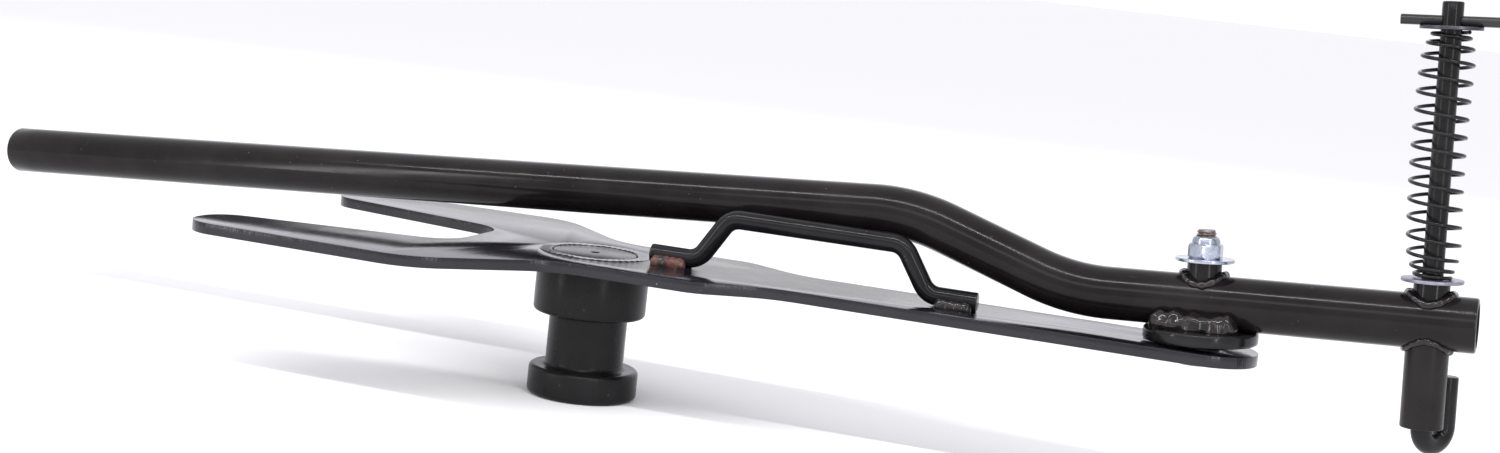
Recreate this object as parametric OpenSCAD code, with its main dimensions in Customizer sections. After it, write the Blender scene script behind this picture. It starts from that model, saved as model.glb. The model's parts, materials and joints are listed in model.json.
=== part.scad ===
// Fifth-wheel coupling lock tester with a pry lever.
// The origin is on the king pin's axis at the fork plate's underside.
// +Z is up, +X runs along the plate towards the lever's pivot, and the king pin points down.

/* [Fork plate] */
// Thickness of the fork plate
plate_t = 7; // [5:0.5:12]
// Width across the fork's shoulders
fork_w = 258; // [200:1:320]
// Width across the fork's tips
tip_w = 247; // [190:1:310]
// Distance from the king pin's axis to the fork's tips
fork_reach = 231; // [180:1:300]
// Distance from the king pin's axis to the root of the fork's notch
notch_root = 83; // [60:1:110]
// Width of the notch at its root
notch_root_w = 84; // [60:1:110]
// Width of the notch at the fork's tips
notch_mouth_w = 153; // [130:1:170]
// Width of the plate beside the king pin
waist_w = 119; // [100:1:150]
// Distance from the king pin's axis to the corner where the waist steps in to the tail
waist_end = 88; // [80:1:110]
// Width of the plate's tail
tail_w = 69; // [60:1:90]
// Distance from the king pin's axis to the lever's pivot
pivot_reach = 388.5; // [330:1:450]

/* [King pin] */
// Diameter of the king pin's collar
collar_d = 73; // [60:0.1:90]
// Height of the collar below the plate
collar_h = 33; // [20:0.5:45]
// Diameter of the king pin's neck
neck_d = 50.8; // [40:0.1:60]
// Height of the neck
neck_h = 35; // [25:0.5:45]
// Diameter of the king pin's flange
flange_d = 71.4; // [60:0.1:88]
// Height of the flange
flange_h = 19; // [12:0.5:25]
// Radius of the king pin's turned edges
pin_edge_r = 3; // [1:0.5:4]
// Radius of the fillets at the neck
pin_fillet_r = 3; // [1:0.5:4]
// Diameter of the spigot that stands in the plate
spigot_d = 54; // [44:0.5:58]
// Diameter of the weld groove round the spigot, at the plate's top
groove_d = 73; // [60:0.5:80]
// Diameter of the centre drilling in the pin's top face
centre_d = 6; // [3:0.5:10]

/* [Carry handle] */
// Diameter of the handle's round rod
handle_d = 12; // [8:0.5:16]
// Distance from the king pin's axis to the end of the handle's first foot
handle_start = 40; // [36:1:48]
// Distance of the handle from the plate's centre line, away from the lever
handle_side = 4; // [3:0.5:12]
// Length of the grip bar between the bends' corners
grip_len = 113; // [90:1:140]
// Length along the plate that each leg covers
leg_run = 18.5; // [10:0.5:30]
// Length of each foot up to the bend's corner
foot_len = 31.5; // [24:0.5:45]
// Height of the grip bar above the feet
grip_rise = 29; // [24:1:30]
// Radius of the handle's bends
handle_bend_r = 13; // [10:1:20]

/* [Lever tube] */
// Outside diameter of the lever tube
tube_d = 32; // [28:0.5:40]
// Wall of the lever tube
tube_wall = 3; // [2:0.25:5]
// Distance from the pivot to the short arm's end
short_arm = 156; // [150:1:190]
// Distance from the pivot to the long arm's end, along the short arm's line
long_arm = 881; // [700:1:1100]
// Distance from the pivot to the corner of the lower bend
crank_start = 80; // [70:1:100]
// Distance between the corners of the two bends, along the short arm's line
crank_run = 103.5; // [95:1:130]
// Angle of the cranked stretch
crank_angle = 21; // [16:0.5:26]
// Angle by which the long arm closes on the short arm's line
arm_toe = 0.5; // [0:0.1:1.5]
// Radius of the tube's bends, at its centre line
tube_bend_r = 130; // [110:5:150]

/* [Pivot] */
// Angle that the lever makes with the plate, seen from above, as stored
swing_rest = 5; // [5:0.5:8]
// Angle by which the long arm droops against the plate, as stored
rock_rest = 4; // [2:0.1:4]
// Diameter of the pivot disc under the tube
disc_d = 68; // [56:0.5:80]
// Thickness of the pivot disc
disc_t = 8; // [6:0.5:12]
// Diameter of the pivot bolt
bolt_d = 12; // [10:0.5:14]
// Diameter of the bolt's flat round head
head_d = 28; // [24:0.5:34]
// Thickness of the bolt's head
head_t = 2.6; // [2:0.1:4]
// Outside diameter of the pivot bush
pivot_bush_d = 20.4; // [19:0.1:24]
// Height of the pivot bush above the tube
pivot_boss_h = 8; // [5:0.5:12]
// Width of the lock nut across its flats
nut_af = 19; // [17:0.5:22]
// Height of the lock nut
nut_h = 13; // [11:0.5:16]
// Length of bolt that stands out of the nut
bolt_tail = 4; // [2:0.5:8]
// Outside diameter of the spacer washer between the disc and the plate
spacer_d = 24; // [20:0.5:28]

/* [Washers] */
// Outside diameter of the three large washers
washer_d = 35; // [30:0.5:42]
// Thickness of the large washers
washer_t = 2; // [1.5:0.1:3]

/* [Hook] */
// Distance from the pivot to the hook rod's axis
hook_reach = 129.5; // [120:0.5:145]
// Diameter of the hook rod
rod_d = 12; // [10:0.5:14]
// Outside diameter of the hook's bush
hook_bush_d = 20.4; // [18:0.1:24]
// Height of the hook's bush above the tube
hook_boss_h = 7; // [5:0.5:12]
// Outside diameter of the sleeve under the tube
sleeve_d = 24.5; // [24.5:0.1:32]
// Length of the sleeve below the tube
sleeve_len = 45.5; // [30:0.5:60]
// Radius of the J-bend at the rod's centre line
hook_bend_r = 20.8; // [20:0.1:26]
// Length of the J-hook's straight tip
tip_len = 29; // [20:1:40]
// Angle of the J-hook from the short arm's line
hook_face = 56; // [0:1:360]
// Length of rod above the roll pin's axis
rod_head = 11; // [8:0.5:20]
// Diameter of the roll pin
roll_pin_d = 6; // [4:0.5:7]
// Length of the roll pin
roll_pin_len = 56; // [40:1:70]
// Width of the roll pin's slot
roll_pin_slot = 1.4; // [0.8:0.1:2]

/* [Spring] */
// Length of the spring as stored
spring_len = 142; // [120:1:170]
// Diameter of the spring wire
wire_d = 2.2; // [1.5:0.1:3]
// Outside diameter of the spring's middle coils
spring_d = 31; // [28:0.5:36]
// Outside diameter of the spring's end coils
spring_end_d = 22; // [20:0.5:26]
// Number of turns of wire
turns = 16; // [12:0.5:20]
// Turns over which each end closes up and narrows
end_turns = 3; // [2:0.5:4]

/* [Fits] */
// Gap round a piece that is welded into a hole
weld_gap = 0.1; // [0.05:0.05:0.3]
// Running clearance on the radius of the rod and the bolt in their bushes
run_gap = 0.1; // [0.05:0.01:0.1]
// Clearance left at the ends of the lever's rocking
rock_gap = 0.3; // [0.2:0.1:0.6]
// Clearance round the rod in a washer, on the radius
washer_gap = 0.5; // [0.3:0.1:1]

/* [Hidden] */
$fn = 64;
eps = 0.01;
join_gap = 0.05;
lap = 0.3;

// Fork plate
tip_r = 23;
shoulder_r = 48;
waist_r = 48;
waist_end_r = 32;
tail_r = 60;
notch_r = 28;
shoulder_x = -70;
waist_x = -4;
tail_start = waist_end + 42;

// Rocking play: the disc's edge comes down on the plate at either end of it
rock_z = plate_t / 2;
play = disc_d / 2 * sin(rock_rest) + rock_gap;
disc_z = rock_z + play;
axis_z = disc_z + disc_t + tube_d / 2;
spacer_t = play - spacer_d / 2 * sin(rock_rest) - rock_gap;
plate_hole_d = bolt_d + 2 * (rock_z * tan(rock_rest) + 2 * rock_gap);
head_z = -rock_z - head_d / 2 * sin(rock_rest) - rock_gap;

// Heights along the pivot bolt, in the lever's own frame
boss_z = axis_z + tube_d / 2 + pivot_boss_h;
nut_z = boss_z + washer_t;
bolt_top = nut_z + nut_h + bolt_tail;
insert_h = 3;
insert_d = bolt_d + 3;

// Heights along the hook rod, in the lever's own frame
hook_boss_z = axis_z + tube_d / 2 + hook_boss_h;
spring_z = hook_boss_z + washer_t;
upper_washer_z = spring_z + spring_len;
roll_pin_z = upper_washer_z + washer_t + roll_pin_d / 2;
sleeve_z = axis_z - tube_d / 2 - sleeve_len;
bend_r = hook_bend_r / 2;
bend_z = sleeve_z - rock_gap;
wire_sides = 8;
wire_steps = 20;

// The lever's own frame: +X along the short arm, +Z along the bolt
module at_lever() {
    translate([pivot_reach, 0, rock_z])
        rotate([0, -rock_rest, -swing_rest])
            children();
}

module at_hook() {
    at_lever()
        translate([hook_reach, 0, 0])
            children();
}

// Points of an arc of radius r that rounds the corner b between a and c
function arc_at(a, b, c, r, n = 10) =
    let (
        u = (a - b) / norm(a - b),
        v = (c - b) / norm(c - b),
        half = acos(u * v) / 2,
        mid = b + (u + v) / norm(u + v) * r / sin(half),
        from = b + u * r / tan(half) - mid,
        to = b + v * r / tan(half) - mid,
        start = atan2(from[1], from[0]),
        turn = atan2(from[0] * to[1] - from[1] * to[0], from * to)
    )
    [for (i = [0:n]) mid + r * [cos(start + turn * i / n), sin(start + turn * i / n)]];

// A closed outline whose corners are [x, y, radius]
function rounded(corners) =
    let (n = len(corners))
    [for (i = [0:n - 1])
        let (
            a = corners[(i + n - 1) % n],
            b = corners[i],
            c = corners[(i + 1) % n]
        )
        each (b[2] == 0
            ? [[b[0], b[1]]]
            : arc_at([a[0], a[1]], [b[0], b[1]], [c[0], c[1]], b[2]))];

function mirrored(half) = [for (i = [len(half) - 1:-1:0]) [half[i][0], -half[i][1], half[i][2]]];

// Bar of round section that runs along +X and bends in the XZ plane.
// Each step is [straight length, bend angle (up is positive), bend radius].
// A bend stands proud of its straights by the join gap, and each straight laps into it.
module bent_bar(d, steps, i = 0) {
    if (i < len(steps)) {
        run = steps[i][0];
        angle = steps[i][1];
        r = steps[i][2];
        up = angle < 0 ? -1 : 1;
        lap_before = i == 0 ? 0 : lap;
        lap_after = angle == 0 ? 0 : lap;
        translate([-lap_before, 0, 0])
            rotate([0, 90, 0])
                cylinder(d = d, h = run + lap_before + lap_after);
        translate([run, 0, 0]) {
            if (angle != 0)
                mirror([0, 0, up < 0 ? 1 : 0])
                    translate([0, 0, r])
                        rotate([90, 0, 0])
                            rotate([0, 0, -90])
                                bend(d, r, abs(angle));
            translate([r * sin(abs(angle)), 0, up * r * (1 - cos(angle))])
                rotate([0, -angle, 0])
                    bent_bar(d, steps, i + 1);
        }
    }
}

module bend(d, r, angle) {
    rotate_extrude(angle = angle, $fn = 128)
        translate([r, 0])
            circle(d = d + 2 * join_gap, $fn = 64);
}

module ring(od, id, h) {
    difference() {
        cylinder(d = od, h = h);
        translate([0, 0, -1])
            cylinder(d = id, h = h + 2);
    }
}

module fork_plate() {
    outer = [
        [-fork_reach, tip_w / 2, tip_r],
        [shoulder_x, fork_w / 2, shoulder_r],
        [waist_x, waist_w / 2, waist_r],
        [waist_end, waist_w / 2, waist_end_r],
        [tail_start, tail_w / 2, tail_r],
        [pivot_reach + tail_w / 2, tail_w / 2, tail_w / 2 - eps]
    ];
    notch = [
        [-notch_root, notch_root_w / 2, notch_r],
        [-fork_reach, notch_mouth_w / 2, tip_r]
    ];
    color("#26252b")
        difference() {
            linear_extrude(plate_t)
                polygon(rounded(concat(outer, mirrored(outer), mirrored(notch), notch)));
            translate([0, 0, -1])
                cylinder(d = spigot_d + 2 * weld_gap, h = plate_t + 2, $fn = 96);
            translate([0, 0, plate_t / 3])
                cylinder(d1 = spigot_d + 2 * weld_gap, d2 = groove_d, h = plate_t * 2 / 3 + eps, $fn = 96);
            translate([pivot_reach, 0, -1])
                cylinder(d = plate_hole_d, h = plate_t + 2);
        }
}

// Half section of the king pin, from the centre drilling down and round to the axis
function pin_section() =
    let (
        neck_top = -collar_h,
        neck_low = neck_top - neck_h,
        foot = neck_low - flange_h,
        outline = [
            [0, plate_t - centre_d / 2, 0],
            [centre_d / 2, plate_t, 0],
            [spigot_d / 2, plate_t, 0],
            [spigot_d / 2, 0, 0],
            [collar_d / 2, 0, 0],
            [collar_d / 2, neck_top, pin_edge_r],
            [neck_d / 2, neck_top, pin_fillet_r],
            [neck_d / 2, neck_low, pin_fillet_r],
            [flange_d / 2, neck_low, pin_edge_r],
            [flange_d / 2, foot, pin_edge_r],
            [0, foot, 0]
        ]
    )
    rounded(outline);

module king_pin() {
    color("#211f22")
        rotate_extrude($fn = 128)
            polygon(pin_section());
}

module king_pin_weld() {
    low_r = spigot_d / 2 + weld_gap;
    rim_r = groove_d / 2 - weld_gap;
    bead_top = plate_t + 0.6;
    color("#18171a")
        rotate_extrude($fn = 96)
            polygon([
                [low_r, plate_t / 3 + weld_gap],
                [rim_r, plate_t],
                [rim_r - 1.5, bead_top],
                [low_r + 1, bead_top],
                [low_r, plate_t]
            ]);
}

// Bends of the carry handle, with the corners' tangent lengths taken off each straight
leg_angle = atan(grip_rise / leg_run);
leg_len = norm([grip_rise, leg_run]);
handle_tangent = handle_bend_r * tan(leg_angle / 2);
handle_z = plate_t + handle_d / 2;
handle_len = grip_len + 2 * leg_run + 2 * foot_len;

module carry_handle() {
    foot_run = foot_len - handle_tangent;
    leg_straight = leg_len - 2 * handle_tangent;
    color("#1b1a1d")
        translate([handle_start, -handle_side, handle_z])
            bent_bar(handle_d, [
                [foot_run, leg_angle, handle_bend_r],
                [leg_straight, -leg_angle, handle_bend_r],
                [grip_len - 2 * handle_tangent, -leg_angle, handle_bend_r],
                [leg_straight, leg_angle, handle_bend_r],
                [foot_run, 0, 0]
            ]);
}

// A pair of fillet beads that run along +X, one up each side of a round bar
module side_beads(bar_d, run, bead_w, bead_h) {
    for (side = [0, 1])
        mirror([0, side, 0])
            difference() {
                rotate([90, 0, 90])
                    linear_extrude(run)
                        polygon([
                            [bar_d / 5, 0],
                            [bead_w, 0],
                            [bar_d / 2, bead_h],
                            [bar_d / 3, bead_h]
                        ]);
                translate([-1, 0, bar_d / 2])
                    rotate([0, 90, 0])
                        cylinder(d = bar_d, h = run + 2);
            }
}

module foot_beads() {
    translate([2, 0, 0])
        side_beads(handle_d, foot_len - 8, handle_d / 2 + 4, handle_d * 0.45);
}

module handle_weld_front() {
    color("#3a2a24")
        translate([handle_start, -handle_side, plate_t])
            foot_beads();
}

module handle_weld_rear() {
    color("#1b191b")
        translate([handle_start + handle_len, -handle_side, plate_t])
            mirror([1, 0, 0])
                foot_beads();
}

module pivot_spacer() {
    color("#3c3c40")
        translate([pivot_reach, 0, plate_t])
            ring(spacer_d, plate_hole_d + 2 * washer_gap, spacer_t);
}

// Centre line of the lever tube, from the short arm's end to the long arm's end,
// run on past both ends by over
function tube_steps(over) =
    let (
        up = crank_angle,
        down = crank_angle + arm_toe,
        lower_tangent = tube_bend_r * tan(up / 2),
        upper_tangent = tube_bend_r * tan(down / 2),
        slant = crank_run / cos(crank_angle),
        rest = (long_arm - crank_start - crank_run) / cos(arm_toe)
    )
    [
        [over + short_arm + crank_start - lower_tangent, up, tube_bend_r],
        [slant - lower_tangent - upper_tangent, -down, tube_bend_r],
        [rest - upper_tangent + over, 0, 0]
    ];

module tube_line(d, over = 0) {
    translate([short_arm + over, 0, axis_z])
        rotate([0, 0, 180])
            bent_bar(d, tube_steps(over));
}

module lever_tube() {
    color("#1a191b")
        at_lever()
            difference() {
                tube_line(tube_d);
                tube_line(tube_d - 2 * tube_wall, tube_wall);
                translate([0, 0, axis_z - tube_d])
                    cylinder(d = pivot_bush_d + 2 * weld_gap, h = 2 * tube_d);
                translate([hook_reach, 0, axis_z - tube_d])
                    cylinder(d = hook_bush_d + 2 * weld_gap, h = 2 * tube_d);
            }
}

module pivot_disc() {
    color("#151416")
        at_lever()
            translate([0, 0, disc_z])
                ring(disc_d, pivot_bush_d + 2 * weld_gap, disc_t);
}

module pivot_disc_weld() {
    bead_len = disc_d * 0.84;
    color("#1d1b1d")
        at_lever()
            difference() {
                translate([-bead_len / 2, 0, disc_z + disc_t])
                    side_beads(tube_d, bead_len, disc_d * 0.31, 9);
                translate([0, 0, disc_z])
                    cylinder(d = pivot_bush_d + 2 * weld_gap, h = disc_t + tube_d / 2);
            }
}

module pivot_bush() {
    color("#171618")
        at_lever()
            translate([0, 0, disc_z])
                ring(pivot_bush_d, bolt_d + 2 * run_gap, boss_z - disc_z);
}

// Conical bead round a bush that stands out of the tube's top
module boss_bead(bush_d) {
    foot_z = axis_z + tube_d * 0.3;
    bead_h = tube_d / 2 + 3 - tube_d * 0.3;
    difference() {
        translate([0, 0, foot_z])
            cylinder(d1 = bush_d + 13, d2 = bush_d + 2, h = bead_h);
        translate([0, 0, foot_z - 1])
            cylinder(d = bush_d, h = bead_h + 2);
        rotate([0, 90, 0])
            translate([-axis_z, 0, -tube_d])
                cylinder(d = tube_d, h = 2 * tube_d);
    }
}

module pivot_bush_weld() {
    color("#1c1a1c")
        at_lever()
            boss_bead(pivot_bush_d);
}

module pivot_bolt() {
    chamfer = 1.2;
    color("#3b3638")
        at_lever()
            rotate_extrude()
                polygon([
                    [0, head_z - head_t],
                    [head_d / 2, head_z - head_t],
                    [head_d / 2, head_z],
                    [bolt_d / 2, head_z],
                    [bolt_d / 2, bolt_top - chamfer],
                    [bolt_d / 2 - chamfer, bolt_top],
                    [0, bolt_top]
                ]);
}

module pivot_nut() {
    corner_d = nut_af / cos(30);
    collar_top = nut_z + nut_h;
    color("#a9abb8")
        at_lever()
            difference() {
                intersection() {
                    translate([0, 0, nut_z])
                        cylinder(d = corner_d, h = nut_h, $fn = 6);
                    translate([0, 0, nut_z])
                        cylinder(d1 = corner_d + 2 * nut_h - 6, d2 = nut_af - 5, h = nut_h);
                }
                translate([0, 0, nut_z - 1])
                    cylinder(d = bolt_d + 2 * run_gap, h = nut_h + 2);
                translate([0, 0, collar_top - insert_h - 0.6])
                    cylinder(d = insert_d + 2 * weld_gap, h = insert_h);
            }
}

module nut_insert() {
    color("#d8d4c4")
        at_lever()
            translate([0, 0, nut_z + nut_h - insert_h - 0.6])
                ring(insert_d, bolt_d + 2 * run_gap, insert_h);
}

module pivot_washer() {
    color("#b6b8c4")
        at_lever()
            translate([0, 0, boss_z])
                ring(washer_d, bolt_d + 2 * washer_gap, washer_t);
}

module hook_bush() {
    color("#171618")
        at_hook()
            translate([0, 0, sleeve_z])
                ring(hook_bush_d, rod_d + 2 * run_gap, hook_boss_z - sleeve_z);
}

module hook_bush_weld() {
    color("#1c1a1c")
        at_hook()
            boss_bead(hook_bush_d);
}

module hook_sleeve() {
    color("#1d1b1d")
        at_hook()
            difference() {
                translate([0, 0, sleeve_z])
                    ring(sleeve_d, hook_bush_d + 2 * weld_gap, sleeve_len + tube_d / 4);
                rotate([0, 90, 0])
                    translate([-axis_z, 0, -tube_d])
                        cylinder(d = tube_d, h = 2 * tube_d);
            }
}

module hook_sleeve_weld() {
    root_z = axis_z - tube_d / 2;
    color("#1f1d1f")
        at_hook()
            difference() {
                translate([0, 0, root_z - 3])
                    cylinder(d1 = sleeve_d + 1, d2 = sleeve_d + 8, h = tube_d / 4 + 3);
                translate([0, 0, root_z - 4])
                    cylinder(d = sleeve_d, h = tube_d / 4 + 5);
                rotate([0, 90, 0])
                    translate([-axis_z, 0, -tube_d])
                        cylinder(d = tube_d, h = 2 * tube_d);
            }
}

module lower_washer() {
    color("#5d5b68")
        at_hook()
            translate([0, 0, hook_boss_z])
                ring(washer_d, rod_d + 2 * washer_gap, washer_t);
}

module upper_washer() {
    color("#3a393f")
        at_hook()
            translate([0, 0, upper_washer_z])
                ring(washer_d, rod_d + 2 * washer_gap, washer_t);
}

// Share of the full pitch at turn u: it ramps up over the end turns and down again
function pitch_sum(u) =
    let (ramp = end_turns, last = turns - u)
    u <= ramp
        ? u * u / (2 * ramp)
        : last <= ramp
            ? turns - ramp - last * last / (2 * ramp)
            : u - ramp / 2;

function ease(t) = t * t * (3 - 2 * t);

function coil_r(u) =
    let (t = min(1, u / end_turns, (turns - u) / end_turns))
    (spring_end_d + (spring_d - spring_end_d) * ease(t)) / 2 - wire_d / 2;

module hook_spring() {
    rise = spring_len - wire_d * (1 + turns);
    steps = turns * wire_steps;
    spine = [
        for (i = [0:steps])
            let (
                u = i / wire_steps,
                lift = wire_d / 2 + wire_d * u + rise * pitch_sum(u) / pitch_sum(turns)
            )
            [coil_r(u), -360 * u, lift]
    ];
    points = [
        for (s = spine)
            for (k = [0:wire_sides - 1])
                let (
                    out = s[0] + wire_d / 2 * cos(360 * k / wire_sides),
                    up = s[2] + wire_d / 2 * sin(360 * k / wire_sides)
                )
                [out * cos(s[1]), out * sin(s[1]), up]
    ];
    sides = [
        for (i = [0:steps - 1])
            for (k = [0:wire_sides - 1])
                let (a = i * wire_sides, b = a + wire_sides, n = (k + 1) % wire_sides)
                [a + k, b + k, b + n, a + n]
    ];
    start = [for (k = [wire_sides - 1:-1:0]) k];
    finish = [for (k = [0:wire_sides - 1]) steps * wire_sides + k];
    color("#121113")
        at_hook()
            translate([0, 0, spring_z])
                polyhedron(points = points, faces = concat(sides, [start, finish]), convexity = 10);
}

module hook_rod() {
    chamfer = 1;
    top = roll_pin_z + rod_head;
    color("#1b1a1d")
        at_hook()
            rotate([0, 0, hook_face])
                difference() {
                    union() {
                        translate([0, 0, bend_z - lap])
                            cylinder(d = rod_d, h = top - chamfer - bend_z + lap);
                        translate([0, 0, top - chamfer - eps])
                            cylinder(d1 = rod_d, d2 = rod_d - 2 * chamfer, h = chamfer + eps);
                        translate([bend_r, 0, bend_z])
                            rotate([90, 0, 0])
                                rotate([0, 0, 180])
                                    bend(rod_d, bend_r, 180);
                        translate([hook_bend_r, 0, bend_z - lap])
                            cylinder(d = rod_d, h = tip_len + lap);
                    }
                    rotate([0, 0, -hook_face])
                        translate([-rod_d, 0, roll_pin_z])
                            rotate([0, 90, 0])
                                cylinder(d = roll_pin_d + 2 * weld_gap, h = 2 * rod_d);
                }
}

module roll_pin() {
    bore = roll_pin_d * 0.6;
    color("#222024")
        at_hook()
            translate([-roll_pin_len / 2, 0, roll_pin_z])
                rotate([0, 90, 0])
                    difference() {
                        ring(roll_pin_d, bore, roll_pin_len);
                        translate([-roll_pin_d, -roll_pin_slot / 2, -1])
                            cube([roll_pin_d, roll_pin_slot, roll_pin_len + 2]);
                    }
}

fork_plate();
king_pin();
king_pin_weld();
carry_handle();
handle_weld_front();
handle_weld_rear();
pivot_spacer();
lever_tube();
pivot_disc();
pivot_disc_weld();
pivot_bush();
pivot_bush_weld();
pivot_bolt();
pivot_nut();
nut_insert();
pivot_washer();
hook_bush();
hook_bush_weld();
hook_sleeve();
hook_sleeve_weld();
lower_washer();
hook_spring();
upper_washer();
hook_rod();
roll_pin();
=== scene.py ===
import json
import math

import bpy
from mathutils import Euler, Matrix, Vector, noise


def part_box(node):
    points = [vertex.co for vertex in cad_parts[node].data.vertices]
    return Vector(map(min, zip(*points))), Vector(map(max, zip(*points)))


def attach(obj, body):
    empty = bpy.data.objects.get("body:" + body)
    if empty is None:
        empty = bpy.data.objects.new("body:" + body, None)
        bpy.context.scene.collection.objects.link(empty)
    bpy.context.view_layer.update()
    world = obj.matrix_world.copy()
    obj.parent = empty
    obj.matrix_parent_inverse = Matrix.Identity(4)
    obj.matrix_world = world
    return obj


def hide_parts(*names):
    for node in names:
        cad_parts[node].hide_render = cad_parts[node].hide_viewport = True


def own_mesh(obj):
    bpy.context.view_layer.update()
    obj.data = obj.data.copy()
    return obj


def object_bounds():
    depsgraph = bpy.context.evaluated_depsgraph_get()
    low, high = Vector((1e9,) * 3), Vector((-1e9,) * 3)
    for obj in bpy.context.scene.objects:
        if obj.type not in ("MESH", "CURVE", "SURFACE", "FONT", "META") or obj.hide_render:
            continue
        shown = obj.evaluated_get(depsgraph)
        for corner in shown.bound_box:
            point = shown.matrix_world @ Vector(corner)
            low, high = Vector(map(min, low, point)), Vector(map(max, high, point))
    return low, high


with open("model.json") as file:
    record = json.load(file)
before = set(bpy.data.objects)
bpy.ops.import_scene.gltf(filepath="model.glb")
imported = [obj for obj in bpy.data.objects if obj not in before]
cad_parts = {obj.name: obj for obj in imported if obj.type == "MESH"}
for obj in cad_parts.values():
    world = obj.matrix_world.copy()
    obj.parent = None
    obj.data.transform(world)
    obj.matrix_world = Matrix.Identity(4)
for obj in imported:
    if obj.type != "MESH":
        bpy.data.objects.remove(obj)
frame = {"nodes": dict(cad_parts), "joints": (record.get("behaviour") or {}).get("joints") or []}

cad_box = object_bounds()

# ---- The studio ----
# A camera in front of the tool, a little above the plate, and a wide pale floor that the pin stands on.
# Soft boxes make the highlights: a strip overhead, broad panels in front and behind, a tall one each side.
eye = Vector((0.4793, -1.2829, 0.2054))
gaze = Euler((math.radians(82.839), math.radians(-6.252), math.radians(17.170)))
lens = 51.1
floor_gap = 0.0002

camera = bpy.data.objects.new("camera", bpy.data.cameras.new("camera"))
camera.location = eye
camera.rotation_euler = gaze
camera.data.lens = lens
camera.data.sensor_width = 36
camera.data.clip_end = 200
bpy.context.scene.collection.objects.link(camera)
bpy.context.scene.camera = camera


def soft_box(name, place, target, width, height, power, tint=(1, 1, 1)):
    panel = bpy.data.lights.new(name, "AREA")
    panel.shape = "RECTANGLE"
    panel.size = width
    panel.size_y = height
    panel.energy = power
    panel.color = tint
    lamp = bpy.data.objects.new(name, panel)
    lamp.location = place
    aim = Vector(target) - Vector(place)
    lamp.rotation_euler = aim.to_track_quat("-Z", "Y").to_euler()
    bpy.context.scene.collection.objects.link(lamp)


soft_box("overhead_strip", (0.05, -0.75, 1.25), (0.05, 0, 0.03), 2.6, 0.035, 17)
soft_box("front_panel", (0.1, -1.7, 0.9), (0.05, 0, 0), 2.2, 0.30, 5, (1.0, 0.93, 0.90))
soft_box("back_panel", (-0.2, 2.6, 0.9), (0, 0, 0), 4.0, 1.0, 8, (0.90, 0.88, 1.0))
soft_box("left_panel", (-1.3, -1.3, 0.35), (0, 0, -0.03), 0.12, 1.2, 6)
soft_box("right_panel", (1.5, -1.5, 0.4), (0.3, 0, 0), 0.14, 1.3, 6)

ground = cad_box[0][2] - floor_gap
floor_mesh = bpy.data.meshes.new("studio_floor")
reach = 60
floor_mesh.from_pydata(
    [(-reach, -reach, ground), (reach, -reach, ground), (reach, reach, ground), (-reach, reach, ground)],
    [],
    [(0, 1, 2, 3)],
)
studio_floor = bpy.data.objects.new("studio_floor", floor_mesh)
bpy.context.scene.collection.objects.link(studio_floor)
floor_paper = bpy.data.materials.new("floor_paper")
floor_paper.use_nodes = True
paper_shader = floor_paper.node_tree.nodes["Principled BSDF"]
paper_shader.inputs["Base Color"].default_value = (0.92, 0.92, 0.93, 1)
paper_shader.inputs["Roughness"].default_value = 0.9
paper_shader.inputs["Specular IOR Level"].default_value = 0.1
floor_mesh.materials.append(floor_paper)

world = bpy.data.worlds.new("studio_air")
bpy.context.scene.world = world
world.use_nodes = True
backdrop = world.node_tree.nodes["Background"]
backdrop.inputs["Color"].default_value = (0.97, 0.97, 1, 1)
backdrop.inputs["Strength"].default_value = 1.05
bpy.context.scene.view_settings.view_transform = "Standard"


# ---- Fork plate ----
# Flat 7 mm steel plate, flame-cut to a two-pronged fork with a waist and a round tail, painted gloss black.
# The cut faces keep fine upright drag lines, and the paint rounds every edge.
plate_edge = 0.0007
plate_tone = (0.007, 0.0065, 0.009)
speck_tone = (0.16, 0.15, 0.17)


def show(piece, body, slot, *nodes):
    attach(piece, body)
    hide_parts(*nodes)
    return piece


def shade(mesh, crease=35):
    # Smooth faces, with the edges left sharp where the surface turns by more than the crease angle.
    for face in mesh.polygons:
        face.use_smooth = True
    mesh.set_sharp_from_angle(angle=math.radians(crease))


def eased_copy(name, node, edge, crease=35):
    # The CAD solid with its flat faces made whole and its edges rounded.
    source = frame["nodes"][node]
    piece = bpy.data.objects.new(name, source.data.copy())
    bpy.context.scene.collection.objects.link(piece)
    piece.data.materials.clear()
    weld = piece.modifiers.new("weld", "WELD")
    weld.merge_threshold = 0.00001
    flat = piece.modifiers.new("flat", "DECIMATE")
    flat.decimate_type = "DISSOLVE"
    flat.angle_limit = math.radians(0.5)
    ease = piece.modifiers.new("ease", "BEVEL")
    ease.width = edge
    ease.segments = 3
    ease.limit_method = "ANGLE"
    ease.angle_limit = math.radians(crease)
    ease.use_clamp_overlap = True
    baked = bpy.data.meshes.new_from_object(piece.evaluated_get(bpy.context.evaluated_depsgraph_get()))
    piece.modifiers.clear()
    piece.data = baked
    shade(baked, crease)
    return piece


def node_maker(material):
    material.use_nodes = True
    tree = material.node_tree
    shader = tree.nodes["Principled BSDF"]

    def add(kind, inputs=(), **settings):
        node = tree.nodes.new(kind)
        for key, value in settings.items():
            setattr(node, key, value)
        for key, value in inputs:
            if isinstance(value, bpy.types.NodeSocket):
                tree.links.new(value, node.inputs[key])
            else:
                node.inputs[key].default_value = value
        return node

    return tree, shader, add


def ramp(add, source, low, high, low_value, high_value):
    # Stretches the source from low..high to the two values, and holds it there beyond them.
    spread = [("Value", source), ("From Min", low), ("From Max", high)]
    spread += [("To Min", low_value), ("To Max", high_value)]
    return add("ShaderNodeMapRange", spread).outputs["Result"]


def blend_tones(add, share, first, second):
    mix = add("ShaderNodeMix", [(0, share)], data_type="RGBA")
    for key, tone in ((6, first), (7, second)):
        if isinstance(tone, bpy.types.NodeSocket):
            mix.id_data.links.new(tone, mix.inputs[key])
        else:
            mix.inputs[key].default_value = (*tone, 1)
    return mix.outputs[2]


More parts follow.
